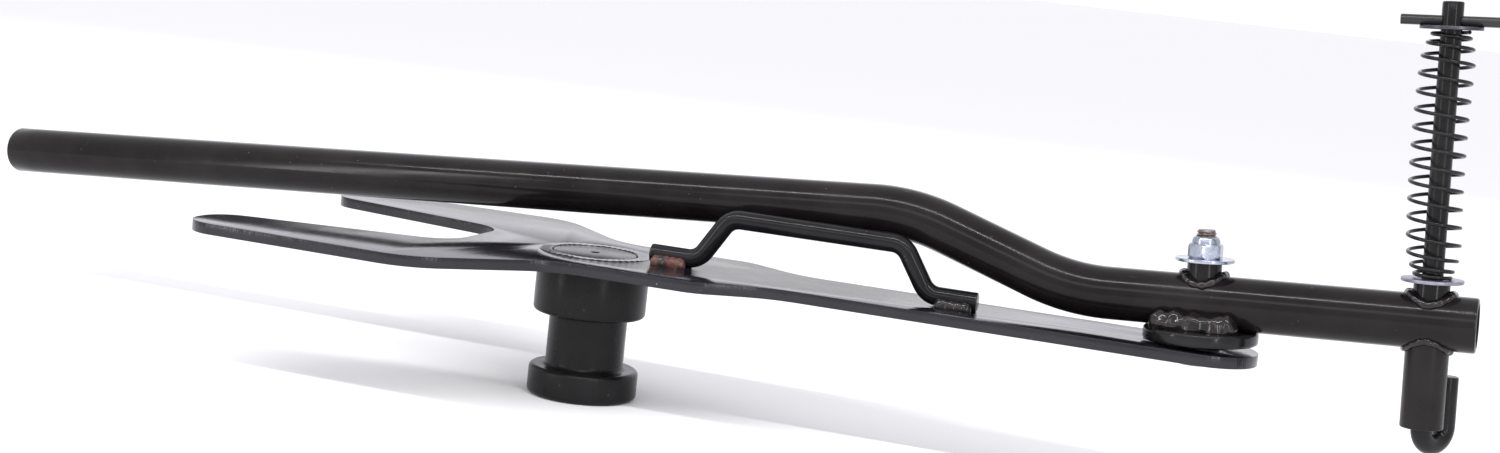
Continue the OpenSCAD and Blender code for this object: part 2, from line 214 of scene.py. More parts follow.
def black_paint(name, tone, gloss, peel=0.12, specks=0.5, drag_lines=False, sheen=0.3, dust=speck_tone):
    # Painted steel: slow smudges in the gloss, fine orange peel, and small pale specks of dust and grit.
    material = bpy.data.materials.new(name)
    tree, shader, add = node_maker(material)
    place = add("ShaderNodeTexCoord").outputs["Object"]
    smudge = add("ShaderNodeTexNoise", [("Vector", place), ("Scale", 22), ("Detail", 5), ("Roughness", 0.6)])
    skin = add("ShaderNodeTexNoise", [("Vector", place), ("Scale", 420), ("Detail", 3), ("Roughness", 0.55)])
    grit = add("ShaderNodeTexVoronoi", [("Vector", place), ("Scale", 240), ("Randomness", 1)])
    patch = add("ShaderNodeTexNoise", [("Vector", place), ("Scale", 60), ("Detail", 2)])
    near_grit = ramp(add, grit.outputs["Distance"], 0.10, 0.16, 1, 0)
    in_patch = ramp(add, patch.outputs["Fac"], 0.60, 0.68, 0, specks)
    speck = add("ShaderNodeMath", [(0, near_grit), (1, in_patch)], operation="MULTIPLY").outputs[0]
    warm = tuple(min(1, part * 1.7 + 0.002) for part in tone)
    body = blend_tones(add, ramp(add, smudge.outputs["Fac"], 0.35, 0.7, 0, 1), tone, warm)
    tree.links.new(blend_tones(add, speck, body, dust), shader.inputs["Base Color"])
    rough = ramp(add, smudge.outputs["Fac"], 0.3, 0.75, gloss * 0.75, gloss * 1.5)
    rougher = add("ShaderNodeMath", [(0, rough), (1, speck)], operation="ADD").outputs[0]
    tree.links.new(rougher, shader.inputs["Roughness"])
    height = add("ShaderNodeMath", [(0, skin.outputs["Fac"]), (1, speck)], operation="ADD").outputs[0]
    if drag_lines:
        upright = add("ShaderNodeMapping", [("Vector", place), ("Scale", (1, 1, 0.03))]).outputs["Vector"]
        lines = add("ShaderNodeTexNoise", [("Vector", upright), ("Scale", 900), ("Detail", 2)])
        facing = add("ShaderNodeSeparateXYZ", [("Vector", add("ShaderNodeNewGeometry").outputs["Normal"])])
        steep = add("ShaderNodeMath", [(0, facing.outputs["Z"])], operation="ABSOLUTE").outputs[0]
        on_side = ramp(add, steep, 0.4, 0.7, 3.5, 0)
        cut = add("ShaderNodeMath", [(0, lines.outputs["Fac"]), (1, on_side)], operation="MULTIPLY")
        cut = cut.outputs[0]
        height = add("ShaderNodeMath", [(0, height), (1, cut)], operation="ADD").outputs[0]
    bump = add("ShaderNodeBump", [("Height", height), ("Strength", peel), ("Distance", 0.0004)])
    tree.links.new(bump.outputs["Normal"], shader.inputs["Normal"])
    shader.inputs["Specular IOR Level"].default_value = sheen
    return material


plate = eased_copy("fork_plate_cut", "fork_plate", plate_edge)
plate.data.materials.append(black_paint("plate_gloss_black", plate_tone, 0.14, 0.16, 0.9, True, 0.4))
show(plate, "plate_assembly", "plate_black", "fork_plate")


# ---- King pin ----
# A 2 inch trailer king pin, turned from one forged bar: collar, neck and head, with rounded edges.
# Its spigot stands in the plate with the top face level. It is painted satin black.
pin_tone = (0.006, 0.0055, 0.006)
plate_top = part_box("fork_plate")[1].z


def eased(outline, radius, steps=4):
    # A closed outline of (radius, height) points with its corners rounded off the axis.
    rounded = []
    count = len(outline)
    for index, point in enumerate(outline):
        before = Vector(outline[index - 1]) - Vector(point)
        after = Vector(outline[(index + 1) % count]) - Vector(point)
        cut = min(radius, before.length * 0.45, after.length * 0.45)
        if point[0] < 1e-6 or cut < 1e-6:
            rounded.append(tuple(point))
            continue
        start = Vector(point) + before.normalized() * cut
        end = Vector(point) + after.normalized() * cut
        for step in range(steps + 1):
            share = step / steps
            first = start.lerp(Vector(point), share)
            second = Vector(point).lerp(end, share)
            rounded.append(tuple(first.lerp(second, share)))
    return rounded


def made_piece(name, verts, faces, crease):
    mesh = bpy.data.meshes.new(name)
    mesh.from_pydata(verts, [], faces)
    mesh.update()
    shade(mesh, crease)
    piece = bpy.data.objects.new(name, mesh)
    bpy.context.scene.collection.objects.link(piece)
    return piece


def turned(name, outline, place, sides=96, shape=None, crease=40):
    # Spins the outline round the place's Z axis. shape may move each point by its angle.
    verts = []
    rows = []
    for radius, height in outline:
        if radius < 1e-6:
            rows.append([len(verts)] * sides)
            verts.append(place @ Vector((0, 0, height)))
            continue
        row = []
        for side in range(sides):
            angle = 2 * math.pi * side / sides
            out, up = shape(radius, height, angle) if shape else (radius, height)
            row.append(len(verts))
            verts.append(place @ Vector((out * math.cos(angle), out * math.sin(angle), up)))
        rows.append(row)
    faces = []
    for index, row in enumerate(rows):
        following = rows[(index + 1) % len(rows)]
        for side in range(sides):
            ahead = (side + 1) % sides
            corners = [row[side], row[ahead], following[ahead], following[side]]
            face = list(dict.fromkeys(corners))
            if len(face) > 2:
                faces.append(face)
    return made_piece(name, verts, faces, crease)


pin = eased_copy("king_pin_turned", "king_pin", 0.0004)
pin.data.materials.append(black_paint("pin_satin_black", pin_tone, 0.26, 0.06, 0.3, False, 0.16))
show(pin, "plate_assembly", "pin_black", "king_pin")


# ---- King pin weld ----
# A ring of weld laid into the groove round the pin's spigot and dressed nearly level with the plate.
# Its ripples still show through the paint.
ring_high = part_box("king_pin_weld")[1]
ring_out = ring_high.x
ring_in = 0.0272
ripples_round_pin = 46


def ring_ripple(radius, height, angle):
    depth = max(0, height - plate_top) / (ring_high.z - plate_top)
    wave = 0.5 + 0.5 * math.sin(ripples_round_pin * angle)
    worn = noise.noise(Vector((3 * math.cos(angle), 3 * math.sin(angle), radius * 300)))
    return radius, height - depth * (0.00025 * wave + 0.0002 * (0.5 + worn))


def weld_skin(name, tone, scorch, rough=0.16):
    # Painted or heat-stained weld metal: lumpy, glossy and uneven in colour.
    material = bpy.data.materials.new(name)
    tree, shader, add = node_maker(material)
    place = add("ShaderNodeTexCoord").outputs["Object"]
    lumps = add("ShaderNodeTexNoise", [("Vector", place), ("Scale", 170), ("Detail", 2), ("Roughness", 0.5)])
    stain = add("ShaderNodeTexNoise", [("Vector", place), ("Scale", 130), ("Detail", 3)])
    share = ramp(add, stain.outputs["Fac"], 0.42, 0.64, 0, 1)
    tree.links.new(blend_tones(add, share, tone, scorch), shader.inputs["Base Color"])
    gloss = ramp(add, lumps.outputs["Fac"], 0.3, 0.7, rough * 0.6, rough * 1.6)
    tree.links.new(gloss, shader.inputs["Roughness"])
    bump = add("ShaderNodeBump", [("Height", lumps.outputs["Fac"]), ("Strength", 0.22), ("Distance", 0.0005)])
    tree.links.new(bump.outputs["Normal"], shader.inputs["Normal"])
    shader.inputs["Specular IOR Level"].default_value = 0.4
    return material


ring_outline = [
    (ring_in, plate_top / 3),
    (ring_out, plate_top),
    (ring_out - 0.0015, ring_high.z),
    (ring_in + 0.001, ring_high.z),
]
weld_black = weld_skin("weld_black", (0.006, 0.005, 0.0055), (0.014, 0.010, 0.010), 0.1)
pin_ring = turned("king_pin_weld_ring", eased(ring_outline, 0.0012, 5), Matrix(), 240, ring_ripple)
pin_ring.data.materials.append(weld_black)
show(pin_ring, "plate_assembly", "weld_black", "king_pin_weld")


# ---- Carry handle ----
# One 12 mm round rod, bent four times into a grip bar, two leaning legs and two feet that lie on the plate.
# It is painted gloss black with the plate.
handle_low, handle_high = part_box("carry_handle")
rod_r = (handle_high.y - handle_low.y) / 2
foot_z = handle_low.z + rod_r
grip_z = handle_high.z - rod_r
handle_y = (handle_low.y + handle_high.y) / 2
foot_len = 0.0315
leg_run = 0.0185
handle_bend = 0.013


def bent_line(corners, radius, steps=14):
    # The corners' straight line with an arc of the given radius at each one.
    line = [Vector(corners[0])]
    for index in range(1, len(corners) - 1):
        corner = Vector(corners[index])
        back = (Vector(corners[index - 1]) - corner).normalized()
        ahead = (Vector(corners[index + 1]) - corner).normalized()
        half = back.angle(ahead) / 2
        middle = corner + (back + ahead).normalized() * radius / math.sin(half)
        start = corner + back * radius / math.tan(half) - middle
        end = corner + ahead * radius / math.tan(half) - middle
        sweep = start.angle(end)
        for step in range(steps + 1):
            share = step / steps
            first = math.sin((1 - share) * sweep) / math.sin(sweep)
            second = math.sin(share * sweep) / math.sin(sweep)
            line.append(middle + start * first + end * second)
    line.append(Vector(corners[-1]))
    return line


def filled_in(line, gap):
    # The same line with points added so that no step is longer than the gap.
    full = [line[0]]
    for before, after in zip(line, line[1:]):
        parts = max(1, math.ceil((after - before).length / gap))
        for part in range(1, parts + 1):
            full.append(before.lerp(after, part / parts))
    return full


def drawn_bar(name, line, place, profile, sides=48, crease=40):
    # Carries a ring of points along the line. profile lists (station, radius) pairs: a station is an
    # index into the line and a shift along it, so a bar can be hollow, with its ends rounded.
    tangents = []
    for index in range(len(line)):
        ahead = line[min(index + 1, len(line) - 1)]
        behind = line[max(index - 1, 0)]
        tangents.append((ahead - behind).normalized())
    side_ways = [tangents[0].orthogonal().normalized()]
    for before, after in zip(tangents, tangents[1:]):
        turn = before.rotation_difference(after)
        side_ways.append((turn @ side_ways[-1]).normalized())
    verts = []
    rows = []
    for index, shift, radius in profile:
        centre = line[index] + tangents[index] * shift
        if radius < 1e-7:
            rows.append([len(verts)] * sides)
            verts.append(place @ centre)
            continue
        across = side_ways[index]
        up = tangents[index].cross(across)
        row = []
        for side in range(sides):
            angle = 2 * math.pi * side / sides
            row.append(len(verts))
            verts.append(place @ (centre + (across * math.cos(angle) + up * math.sin(angle)) * radius))
        rows.append(row)
    closed = rows[0][0] != rows[0][1]
    faces = []
    for index in range(len(rows) if closed else len(rows) - 1):
        row = rows[index]
        following = rows[(index + 1) % len(rows)]
        for side in range(sides):
            ahead = (side + 1) % sides
            face = list(dict.fromkeys([row[side], following[side], following[ahead], row[ahead]]))
            if len(face) > 2:
                faces.append(face)
    return made_piece(name, verts, faces, crease)


def solid_bar(line, radius, ease):
    # A round bar's profile from end to end, with its end edges rounded.
    last = len(line) - 1
    rows = [(0, 0, 0), (0, 0, radius - ease), (0, ease * 0.3, radius - ease * 0.3), (0, ease, radius)]
    rows += [(index, 0, radius) for index in range(1, last)]
    rows += [(last, -ease, radius), (last, -ease * 0.3, radius - ease * 0.3)]
    rows += [(last, 0, radius - ease), (last, 0, 0)]
    return rows


handle_corners = [
    (handle_low.x, handle_y, foot_z),
    (handle_low.x + foot_len, handle_y, foot_z),
    (handle_low.x + foot_len + leg_run, handle_y, grip_z),
    (handle_high.x - foot_len - leg_run, handle_y, grip_z),
    (handle_high.x - foot_len, handle_y, foot_z),
    (handle_high.x, handle_y, foot_z),
]
handle_line = filled_in(bent_line(handle_corners, handle_bend), 0.006)
handle = drawn_bar("carry_handle_rod", handle_line, Matrix(), solid_bar(handle_line, rod_r, 0.0008), 56)
handle_tone = (0.006, 0.0055, 0.0065)
handle.data.materials.append(black_paint("handle_gloss_black", handle_tone, 0.13, 0.12, 0.3, False, 0.2))
show(handle, "plate_assembly", "handle_black", "carry_handle")


# ---- Handle welds ----
# A short fillet weld runs up each side of both feet, laid by hand in overlapping ripples.
# The front pair was scorched red-brown and barely painted, and the rear pair is black.


def laid_bead(name, line, place, width, height, pitch, seed, sides=22):
    # A weld bead along the line: overlapping ripples of uneven width, with blunt rounded ends.
    verts = []
    rows = []
    run = 0
    total = sum((after - before).length for before, after in zip(line, line[1:]))
    for index, point in enumerate(line):
        if index:
            run += (point - line[index - 1]).length
        ahead = (line[min(index + 1, len(line) - 1)] - line[max(index - 1, 0)]).normalized()
        up = Vector((0, 0, 1))
        across = ahead.cross(up).normalized()
        from_end = min(run, total - run) / (width * 0.9)
        cap = math.sqrt(max(0.0, 1 - (1 - min(1, from_end)) ** 2))
        step = (run / pitch) % 1
        ripple = 0.86 + 0.14 * math.sin(math.pi * step) ** 0.6
        row = []
        for side in range(sides):
            angle = 2 * math.pi * side / sides
            way = across * math.cos(angle) * width + up * math.sin(angle) * height
            lump = noise.noise((point + way) * 190 + Vector((seed, 0, 0)))
            size = max(0.04, cap) * ripple * (0.9 + 0.16 * lump)
            row.append(len(verts))
            verts.append(place @ (point + way * size))
        rows.append(row)
    faces = [tuple(rows[0]), tuple(reversed(rows[-1]))]
    for row, following in zip(rows, rows[1:]):
        for side in range(sides):
            ahead_side = (side + 1) % sides
            faces.append((row[side], following[side], following[ahead_side], row[ahead_side]))
    return made_piece(name, verts, faces, 60)


foot_bead_w = 0.0044
foot_bead_h = 0.0058
foot_pitch = 0.0042
weld_brown = weld_skin("weld_brown", (0.10, 0.035, 0.025), (0.02, 0.014, 0.014), 0.2)
for node, slot, skin in (
    ("handle_weld_front", "weld_brown", weld_brown),
    ("handle_weld_rear", "weld_black", weld_black),
):
    low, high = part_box(node)
    for side, side_name in ((-1, "near"), (1, "far")):
        start = Vector((low.x, handle_y + side * (rod_r + 0.0008), plate_top + 0.0012))
        end = Vector((high.x, start.y, start.z))
        bead_line = filled_in([start, end], 0.0004)
        seed = low.x * 90 + side
        name = f"{node}_{side_name}"
        bead = laid_bead(name, bead_line, Matrix(), foot_bead_w, foot_bead_h, foot_pitch, seed)
        bead.data.materials.append(skin)
        show(bead, "plate_assembly", slot, node)


# ---- Pivot spacer ----
# A thin steel washer on the plate under the lever's disc. It keeps the dark gap that the lever rocks in.
# Plain steel, dulled by oil.
rock = next(joint for joint in frame["joints"] if joint["name"] == "lever_rock")
turn = next(joint for joint in frame["joints"] if joint["name"] == "hook_turn")
pivot = Vector(rock["pos_m"])
lever_y = Vector(rock["axis"]).normalized()
lever_z = Vector(turn["axis"]).normalized()
lever_x = lever_y.cross(lever_z)
lever = Matrix.Translation(pivot) @ Matrix((lever_x, lever_y, lever_z)).transposed().to_4x4()
hook_run = (Vector(turn["pos_m"]) - pivot).dot(lever_x)
hook_place = lever @ Matrix.Translation((hook_run, 0, 0))


def steel(name, tone, stain, rough, grain=600, brush=(1, 1, 1), depth=0.15):
    # Bare or plated steel: a fine grain, clouded colour and uneven gloss.
    material = bpy.data.materials.new(name)
    tree, shader, add = node_maker(material)
    place = add("ShaderNodeTexCoord").outputs["Object"]
    drawn = add("ShaderNodeMapping", [("Vector", place), ("Scale", brush)]).outputs["Vector"]
    fine_grain = [("Vector", drawn), ("Scale", grain), ("Detail", 4), ("Roughness", 0.65)]
    fine = add("ShaderNodeTexNoise", fine_grain)
    cloud = add("ShaderNodeTexNoise", [("Vector", place), ("Scale", 90), ("Detail", 4)])
    share = ramp(add, cloud.outputs["Fac"], 0.38, 0.68, 0, 1)
    tree.links.new(blend_tones(add, share, tone, stain), shader.inputs["Base Color"])
    gloss = ramp(add, fine.outputs["Fac"], 0.3, 0.7, rough * 0.7, rough * 1.5)
    tree.links.new(gloss, shader.inputs["Roughness"])
    bump = add("ShaderNodeBump", [("Height", fine.outputs["Fac"]), ("Strength", depth), ("Distance", 0.0003)])
    tree.links.new(bump.outputs["Normal"], shader.inputs["Normal"])
    shader.inputs["Metallic"].default_value = 1
    return material


def span(node, place):
    # How far a CAD node reaches in the place's own axes: its lowest and highest corner there.
    back = place.inverted()
    points = [back @ vertex.co for vertex in frame["nodes"][node].data.vertices]
    low = Vector([min(point[axis] for point in points) for axis in range(3)])
    high = Vector([max(point[axis] for point in points) for axis in range(3)])
    return low, high


def washer_outline(outer, inner, low, high):
    return eased([(inner, low), (outer, low), (outer, high), (inner, high)], 0.0004, 3)


spacer_low, spacer_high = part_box("pivot_spacer")
spacer_place = Matrix.Translation((pivot.x, pivot.y, 0))
spacer_r = (spacer_high.y - spacer_low.y) / 2
spacer_outline = washer_outline(spacer_r, 0.0082, spacer_low.z, spacer_high.z)
spacer = turned("pivot_spacer_ring", spacer_outline, spacer_place)
spacer.data.materials.append(steel("spacer_oiled_steel", (0.2, 0.2, 0.21), (0.1, 0.09, 0.09), 0.4))
show(spacer, "swivel", "spacer_steel", "pivot_spacer")


# ---- Lever tube ----
# 32 mm round steel tube with a 3 mm wall, cranked up between two bends and open at both ends.
# It is painted satin black, and the long arm's paint is scuffed and scratched by handling.
tube_r = 0.016
tube_wall = 0.003
crank_start = 0.080
crank_run = 0.1035
crank_angle = math.radians(21)
arm_toe = math.radians(0.5)
tube_bend = 0.130
tube_low, tube_high = span("lever_tube", lever)
axis_z = span("pivot_disc", lever)[1].z + tube_r
arm_end = tube_low.x + tube_r * math.sin(arm_toe)
crank_rise = crank_run * math.tan(crank_angle)
arm_drop = (-arm_end - crank_start - crank_run) * math.tan(arm_toe)


def worn_paint(name, tone, gloss):
    # The lever's paint: rubbed patches and a few fine pale scratches.
    material = black_paint(name, tone, gloss, 0.05, 0.35, False, 0.17)
    tree, shader, add = node_maker(material)
    colour = shader.inputs["Base Color"].links[0].from_socket
    place = add("ShaderNodeTexCoord").outputs["Object"]
    slant = [("Vector", place), ("Rotation", (0.3, 0.9, 0.4)), ("Scale", (14, 160, 160))]
    aslant = add("ShaderNodeMapping", slant)
    lines = add("ShaderNodeTexNoise", [("Vector", aslant.outputs["Vector"]), ("Scale", 1), ("Detail", 1)])
    patch = add("ShaderNodeTexNoise", [("Vector", place), ("Scale", 9), ("Detail", 2)])
    scratch = ramp(add, lines.outputs["Fac"], 0.735, 0.75, 0, 0.55)
    where = ramp(add, patch.outputs["Fac"], 0.56, 0.62, 0, 1)
    marks = add("ShaderNodeMath", [(0, scratch), (1, where)], operation="MULTIPLY").outputs[0]
    tree.links.new(blend_tones(add, marks, colour, (0.2, 0.19, 0.2)), shader.inputs["Base Color"])
    return material


def open_tube(line, radius, wall, ease):
    # A tube's profile: up the outside, round the far rim, back down the bore and round the near rim.
    last = len(line) - 1
    inner = radius - wall
    rows = [(index, 0, radius) for index in range(1, last)]
    rows += [(last, -ease, radius), (last, -ease * 0.3, radius - ease * 0.3), (last, 0, radius - ease)]
    rows += [(last, 0, inner + ease * 0.4), (last, -ease * 0.4, inner)]
    rows += [(index, 0, inner) for index in range(last - 1, 0, -1)]
    rows += [(0, ease * 0.4, inner), (0, 0, inner + ease * 0.4), (0, 0, radius - ease)]
    rows += [(0, ease * 0.3, radius - ease * 0.3), (0, ease, radius)]
    return rows


tube_corners = [
    (tube_high.x, 0, axis_z),
    (-crank_start, 0, axis_z),
    (-crank_start - crank_run, 0, axis_z + crank_rise),
    (arm_end, 0, axis_z + crank_rise - arm_drop),
]
tube_line = filled_in(bent_line(tube_corners, tube_bend, 18), 0.02)
tube = drawn_bar("lever_tube_bent", tube_line, lever, open_tube(tube_line, tube_r, tube_wall, 0.0014), 96)
tube.data.materials.append(worn_paint("lever_satin_black", (0.0065, 0.0052, 0.0055), 0.15))
show(tube, "lever", "lever_black", "lever_tube")


# ---- Pivot disc and its weld ----
# A round steel disc under the tube that slides on the plate, joined to the tube by a heavy weld on each side.
# The beads are thick, uneven and glossy under the paint.
disc_low, disc_high = span("pivot_disc", lever)
disc_r = (disc_high.y - disc_low.y) / 2
bush_hole = 0.0104
disc_outline = [(bush_hole, disc_low.z), (disc_r, disc_low.z)]
disc_outline += [(disc_r, disc_high.z), (bush_hole, disc_high.z)]
disc = turned("pivot_disc_rounded", eased(disc_outline, 0.0022, 6), lever, 128)
disc.data.materials.append(black_paint("disc_black", (0.006, 0.0055, 0.006), 0.14, 0.12, 0.4, False, 0.22))
show(disc, "lever", "disc_black", "pivot_disc")

disc_bead_w = 0.0092
disc_bead_h = 0.0092
disc_pitch = 0.0110
weld_low, weld_high = span("pivot_disc_weld", lever)
for side, side_name in ((-1, "near"), (1, "far")):
    start = Vector((weld_low.x, side * 0.0160, disc_high.z + 0.0030))
    end = Vector((weld_high.x - 0.004, start.y, start.z))
    bead_line = filled_in([start, end], 0.0006)
    name = f"pivot_disc_weld_{side_name}"
    bead = laid_bead(name, bead_line, lever, disc_bead_w, disc_bead_h, disc_pitch, 7 + side, 36)
    bead.data.materials.append(weld_black)
    show(bead, "lever", "weld_black", "pivot_disc_weld")


# ---- Pivot bush and its weld ----
# A round bush runs down through the tube and the disc for the bolt, and a ring of weld seals it on top.
bush_low, bush_high = span("pivot_bush", lever)
bush_r = (bush_high.y - bush_low.y) / 2
bolt_hole = 0.0061
bush_black = black_paint("bush_gloss_black", (0.006, 0.0055, 0.006), 0.15, 0.1, 0.2, False, 0.2)


def bush_outline(outer, inner, low, high):
    return eased([(inner, low), (outer, low), (outer, high), (inner, high)], 0.0007, 3)


bush = turned("pivot_bush_turned", bush_outline(bush_r, bolt_hole, bush_low.z, bush_high.z), lever, 72)
bush.data.materials.append(bush_black)
show(bush, "lever", "bush_black", "pivot_bush")


def saddle_bead(name, place, ring_r, top, seed, size=0.0031):
    # A weld ring that follows the tube's round surface, on its top (1) or its underside (-1).
    verts = []
    sections = 120
    sides = 18
    for section in range(sections):
        angle = 2 * math.pi * section / sections
        out = Vector((math.cos(angle), math.sin(angle), 0))
        sideways = ring_r * math.sin(angle)
        height = math.sqrt(tube_r**2 - sideways**2)
        centre = out * ring_r + Vector((0, 0, axis_z + top * (height + 0.0002)))
        ripple = 0.84 + 0.16 * abs(math.sin(section * math.pi * 15 / sections))
        for side in range(sides):
            turn_angle = 2 * math.pi * side / sides
            way = (out * math.cos(turn_angle) + Vector((0, 0, math.sin(turn_angle)))) * size
            lump = noise.noise((centre + way) * 210 + Vector((seed, 0, 0)))
            verts.append(place @ (centre + way * ripple * (0.92 + 0.2 * lump)))
    faces = []
    for section in range(sections):
        for side in range(sides):
            here = section * sides
            there = (section + 1) % sections * sides
            ahead = (side + 1) % sides
            faces.append((here + side, there + side, there + ahead, here + ahead))
    piece = made_piece(name, verts, faces, 60)
    piece.data.materials.append(weld_black)
    return piece


bush_ring = saddle_bead("pivot_bush_weld_ring", lever, bush_r + 0.0018, 1, 3)
show(bush_ring, "lever", "weld_black", "pivot_bush_weld")


# ---- Pivot washer, bolt and lock nut ----
# The bolt comes up from a low round head under the plate. A wide zinc washer and a zinc lock nut with a nylon
# ring hold the lever down with a little play, and the bolt's threaded end stands out of the nut.
wide_low, wide_high = span("pivot_washer", lever)
wide_r = (wide_high.y - wide_low.y) / 2
zinc = steel("zinc_plate", (0.30, 0.33, 0.41), (0.46, 0.48, 0.55), 0.2, 500, depth=0.05)
wide = turned("pivot_washer_pressed", washer_outline(wide_r, 0.0065, wide_low.z, wide_high.z), lever)
wide.data.materials.append(zinc)
show(wide, "lever", "zinc_washer", "pivot_washer")

nut_low, nut_high = span("pivot_nut", lever)
nut_flat = 0.0095
hex_top = nut_low.z + 0.0088
collar_r = 0.0082
chamfer_r = nut_flat * 1.10


def hexagon(radius, height, angle):
    # Pulls the round outline in to the nut's flats below the collar.
    if radius < nut_flat * 0.99 or height > hex_top + 0.0004:
        return radius, height
    from_flat = (angle + math.pi / 6) % (math.pi / 3) - math.pi / 6
    return min(radius, nut_flat / math.cos(from_flat)), height


nut_outline = [
    (bolt_hole, nut_low.z),
    (nut_flat * 1.02, nut_low.z),
    (chamfer_r, nut_low.z + 0.0007),
    (nut_flat * 1.16, nut_low.z + 0.0016),
    (nut_flat * 1.16, hex_top - 0.0018),
    (chamfer_r, hex_top - 0.0008),
    (nut_flat * 1.0, hex_top - 0.0001),
    (collar_r + 0.0002, hex_top + 0.0002),
    (collar_r, nut_high.z - 0.0022),
    (collar_r - 0.0004, nut_high.z - 0.0010),
    (collar_r - 0.0012, nut_high.z - 0.0002),
    (collar_r - 0.0018, nut_high.z),
    (bolt_hole + 0.0008, nut_high.z - 0.0003),
    (bolt_hole, nut_high.z - 0.0009),
]
nut = turned("pivot_nut_locking", nut_outline, lever, 96, hexagon, 28)
nut.data.materials.append(zinc)
show(nut, "lever", "zinc_nut", "pivot_nut")

insert_low, insert_high = span("nut_insert", lever)
nylon = bpy.data.materials.new("nylon")
nylon_tree, nylon_shader, nylon_add = node_maker(nylon)
nylon_place = nylon_add("ShaderNodeTexCoord").outputs["Object"]
nylon_cloud = nylon_add("ShaderNodeTexNoise", [("Vector", nylon_place), ("Scale", 300), ("Detail", 3)])
nylon_share = ramp(nylon_add, nylon_cloud.outputs["Fac"], 0.3, 0.7, 0, 1)
nylon_tone = blend_tones(nylon_add, nylon_share, (0.66, 0.63, 0.52), (0.74, 0.72, 0.64))
nylon_tree.links.new(nylon_tone, nylon_shader.inputs["Base Color"])
nylon_shader.inputs["Roughness"].default_value = 0.45
insert_ring = washer_outline(0.0074, bolt_hole, insert_low.z, insert_high.z)
insert = turned("nut_insert_ring", insert_ring, lever, 64)
insert.data.materials.append(nylon)
show(insert, "lever", "nylon", "nut_insert")

bolt_low, bolt_high = span("pivot_bolt", lever)
head_r = (bolt_high.y - bolt_low.y) / 2
head_top = bolt_low.z + 0.0026
shank_r = 0.006
thread_pitch = 0.00175
thread_depth = 0.0009
thread_start = nut_low.z - 0.004


def threaded(radius, height, angle):
    # Winds the thread's groove into the shank above its plain stretch.
    if radius < shank_r * 0.99 or radius > shank_r * 1.01 or height < thread_start:
        return radius, height
    turn_share = (height / thread_pitch - angle / (2 * math.pi)) % 1
    return radius - thread_depth * abs(2 * turn_share - 1), height


thread_rows = math.ceil((bolt_high.z - 0.0012 - thread_start) / 0.0002)
bolt_outline = [(0, bolt_low.z + 0.0011), (0.0030, bolt_low.z + 0.0011), (0.0034, bolt_low.z)]
bolt_outline += [(head_r - 0.0015, bolt_low.z), (head_r - 0.0004, bolt_low.z + 0.0006)]
bolt_outline += [(head_r, head_top - 0.0006), (head_r - 0.0003, head_top), (shank_r, head_top)]
for row in range(thread_rows + 1):
    bolt_outline.append((shank_r, thread_start + row * (bolt_high.z - 0.0012 - thread_start) / thread_rows))
bolt_outline += [(shank_r - 0.0012, bolt_high.z), (0, bolt_high.z)]
bolt = turned("pivot_bolt_threaded", bolt_outline, lever, 72, threaded, 30)
bolt.data.materials.append(steel("bolt_dark_steel", (0.26, 0.23, 0.22), (0.14, 0.11, 0.10), 0.34, 700))
show(bolt, "lever", "bolt_steel", "pivot_bolt")


# ---- Hook bush, sleeve and welds ----
# A long bush runs down through the tube's short end and guides the hook rod. A stout sleeve carries it on
# below the tube, and a weld seals each of them to the tube.
guide_low, guide_high = span("hook_bush", hook_place)
guide_r = (guide_high.y - guide_low.y) / 2
guide_outline = bush_outline(guide_r, bolt_hole, guide_low.z, guide_high.z)
guide = turned("hook_bush_turned", guide_outline, hook_place, 72)
guide.data.materials.append(bush_black)
show(guide, "lever", "bush_black", "hook_bush")

guide_ring = saddle_bead("hook_bush_weld_ring", hook_place, guide_r + 0.0018, 1, 11)
show(guide_ring, "lever", "weld_black", "hook_bush_weld")

sleeve_low, sleeve_high = span("hook_sleeve", hook_place)
sleeve_r = (sleeve_high.y - sleeve_low.y) / 2
sleeve_top = axis_z - tube_r * 0.75
sleeve_outline = bush_outline(sleeve_r, guide_r + 0.0001, sleeve_low.z, sleeve_top)


def under_tube(radius, height, angle):
    # Fits the sleeve's upper end against the round underside of the tube.
    if height < sleeve_top - 0.002:
        return radius, height
    return radius, axis_z - math.sqrt(tube_r**2 - (radius * math.sin(angle)) ** 2)


sleeve = turned("hook_sleeve_turned", sleeve_outline, hook_place, 96, under_tube)
sleeve_tone = (0.008, 0.0065, 0.0065)
sleeve.data.materials.append(black_paint("sleeve_satin_black", sleeve_tone, 0.26, 0.06, 0.3, False, 0.18))
show(sleeve, "lever", "sleeve_black", "hook_sleeve")

sleeve_ring = saddle_bead("hook_sleeve_weld_ring", hook_place, sleeve_r + 0.0004, -1, 17, 0.0024)
show(sleeve_ring, "lever", "weld_black", "hook_sleeve_weld")


# ---- Spring and its washers ----
# A left-hand compression spring of thin black wire, full in the middle and drawn in at its closed ends.
# It stands on a grey washer and pushes up a dark one, and it bows a little to one side.
lower_low, lower_high = span("lower_washer", hook_place)
upper_low, upper_high = span("upper_washer", hook_place)
hook_washer_r = (lower_high.y - lower_low.y) / 2
for name, node, low, high, body, slot, tone, stain, rough in (
    ("lower_washer_pressed", "lower_washer", lower_low.z, lower_high.z, "lever", "washer_grey",
     (0.34, 0.32, 0.38), (0.20, 0.19, 0.23), 0.36),
    ("upper_washer_pressed", "upper_washer", upper_low.z, upper_high.z, "plunger", "washer_dark",
     (0.10, 0.10, 0.115), (0.06, 0.06, 0.07), 0.34),
):
    disc_ring = turned(name, washer_outline(hook_washer_r, 0.0065, low, high), hook_place)
    disc_ring.data.materials.append(steel(name + "_steel", tone, stain, rough))
    show(disc_ring, body, slot, node)

wire_r = 0.0011
coil_turns = 16
end_turns = 3
coil_mid_r = 0.0155 - wire_r
coil_end_r = 0.0110 - wire_r
bow = 0.0022
steps_per_turn = 40
spring_base = lower_high.z
spring_len = upper_low.z - lower_high.z
open_rise = spring_len - 2 * wire_r * (1 + coil_turns)


